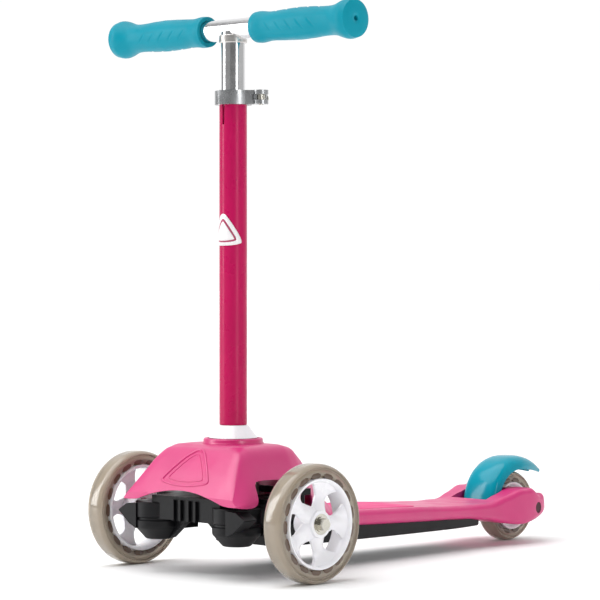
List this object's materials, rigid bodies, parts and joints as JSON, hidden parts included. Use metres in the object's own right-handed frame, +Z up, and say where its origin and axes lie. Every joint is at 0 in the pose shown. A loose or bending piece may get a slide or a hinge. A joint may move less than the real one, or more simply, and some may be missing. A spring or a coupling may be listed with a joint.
{
  "type": "kick scooter",
  "caption": "Child's three-wheeled kick scooter with a lean-to-steer column, telescopic handlebar, quick clamp and rear foot brake.",
  "frame": {"origin": "on the ground, midway between the axles and between the sides", "axes": "+Z up, -Y forward, +X to the rider's left"},
  "size_m": [0.347, 0.58, 0.5805],
  "materials": {
    "pink_plastic": "satin moulded",
    "magenta_metal": "gloss",
    "polished_aluminium": "polished",
    "turquoise_rubber": "satin",
    "turquoise_plastic": "gloss",
    "white_plastic": "gloss",
    "smoky_tyre": "translucent gloss",
    "brown_core": "gloss",
    "black_plastic": "fine texture",
    "steel": "zinc plated",
    "label_white": "printed label",
    "pad": "ribbed"
  },
  "bodies": {
    "deck": {"deck_top": "pink_plastic", "deck_base": "black_plastic", "grip_pad": "pad", "front_cover": "pink_plastic", "truck_housing": "black_plastic", "kingpins": "steel", "pivot_bracket": "steel", "pivot_pin": "steel", "centring_spring_left": "steel", "centring_spring_right": "steel", "rear_axle": "steel", "rear_spacers": "steel", "fender_pin": "steel"},
    "column": {"column_tube": "magenta_metal", "column_badge": "label_white", "collar": "white_plastic", "lean_head": "black_plastic", "clamp_ring": "polished_aluminium", "clamp_bolt": "steel", "clamp_nut": "steel"},
    "handlebar": {"stem_tube": "polished_aluminium", "crossbar": "polished_aluminium", "weld_bead": "polished_aluminium", "grip_left": "turquoise_rubber", "grip_right": "turquoise_rubber", "stem_plug": "black_plastic"},
    "clamp_lever": {"clamp_lever": "polished_aluminium"},
    "left_knuckle": {"knuckle_left": "black_plastic", "front_axle_left": "steel", "axle_nut_left": "steel"},
    "right_knuckle": {"knuckle_right": "black_plastic", "front_axle_right": "steel", "axle_nut_right": "steel"},
    "left_wheel": {"front_left_tyre": "smoky_tyre", "front_left_key_ring": "brown_core", "front_left_hub": "white_plastic", "front_left_bearings": "steel"},
    "right_wheel": {"front_right_tyre": "smoky_tyre", "front_right_key_ring": "brown_core", "front_right_hub": "white_plastic", "front_right_bearings": "steel"},
    "tie_rod": {"tie_rod": "black_plastic"},
    "rear_wheel": {"rear_tyre": "smoky_tyre", "rear_key_ring": "brown_core", "rear_hub": "white_plastic", "rear_bearings": "steel"},
    "rear_brake": {"fender": "turquoise_plastic", "brake_pad": "black_plastic"}
  },
  "joints": [
    {"name": "column_lean", "type": "hinge", "parent": "deck", "child": "column", "pos_m": [0, -0.212, 0.139], "axis": [0, 1, 0], "range_deg": [-12, 12], "stiffness_Nm_per_rad": 12, "deforming": ["centring_spring_left", "centring_spring_right"]},
    {"name": "height_adjust", "type": "slide", "parent": "column", "child": "handlebar", "axis": [0, 0, 1], "range_m": [-0.045, 0.12]},
    {"name": "clamp_lever_open", "type": "hinge", "parent": "column", "child": "clamp_lever", "pos_m": [0.03282, -0.20444, 0.489], "axis": [0, 0, 1], "range_deg": [0, 120]},
    {"name": "steer_left", "type": "hinge", "parent": "deck", "child": "left_knuckle", "pos_m": [0.082, -0.23, 0.064], "axis": [0, 0, 1], "range_deg": [-18.5, 18.5]},
    {"name": "steer_right", "type": "hinge", "parent": "deck", "child": "right_knuckle", "pos_m": [-0.082, -0.23, 0.064], "axis": [0, 0, 1], "range_deg": [-18.5, 18.5]},
    {"name": "tie_rod_slide", "type": "slide", "parent": "deck", "child": "tie_rod", "axis": [1, 0, 0], "range_m": [-0.0115, 0.0115]},
    {"name": "left_wheel_spin", "type": "hinge", "parent": "left_knuckle", "child": "left_wheel", "pos_m": [0.13, -0.23, 0.06], "axis": [1, 0, 0], "continuous": true},
    {"name": "right_wheel_spin", "type": "hinge", "parent": "right_knuckle", "child": "right_wheel", "pos_m": [-0.13, -0.23, 0.06], "axis": [1, 0, 0], "continuous": true},
    {"name": "rear_wheel_spin", "type": "hinge", "parent": "deck", "child": "rear_wheel", "pos_m": [0, 0.23, 0.04], "axis": [1, 0, 0], "continuous": true},
    {"name": "rear_brake_press", "type": "hinge", "parent": "deck", "child": "rear_brake", "pos_m": [0, 0.175, 0.0475], "axis": [-1, 0, 0], "range_deg": [0, 5], "stiffness_Nm_per_rad": 2, "springref_deg": -5.73}
  ],
  "couplings": [
    {"joint": "steer_left", "follows": "column_lean", "ratio": 1.4857},
    {"joint": "steer_right", "follows": "column_lean", "ratio": 1.4857},
    {"joint": "tie_rod_slide", "follows": "column_lean", "m_per_rad": -0.052}
  ]
}
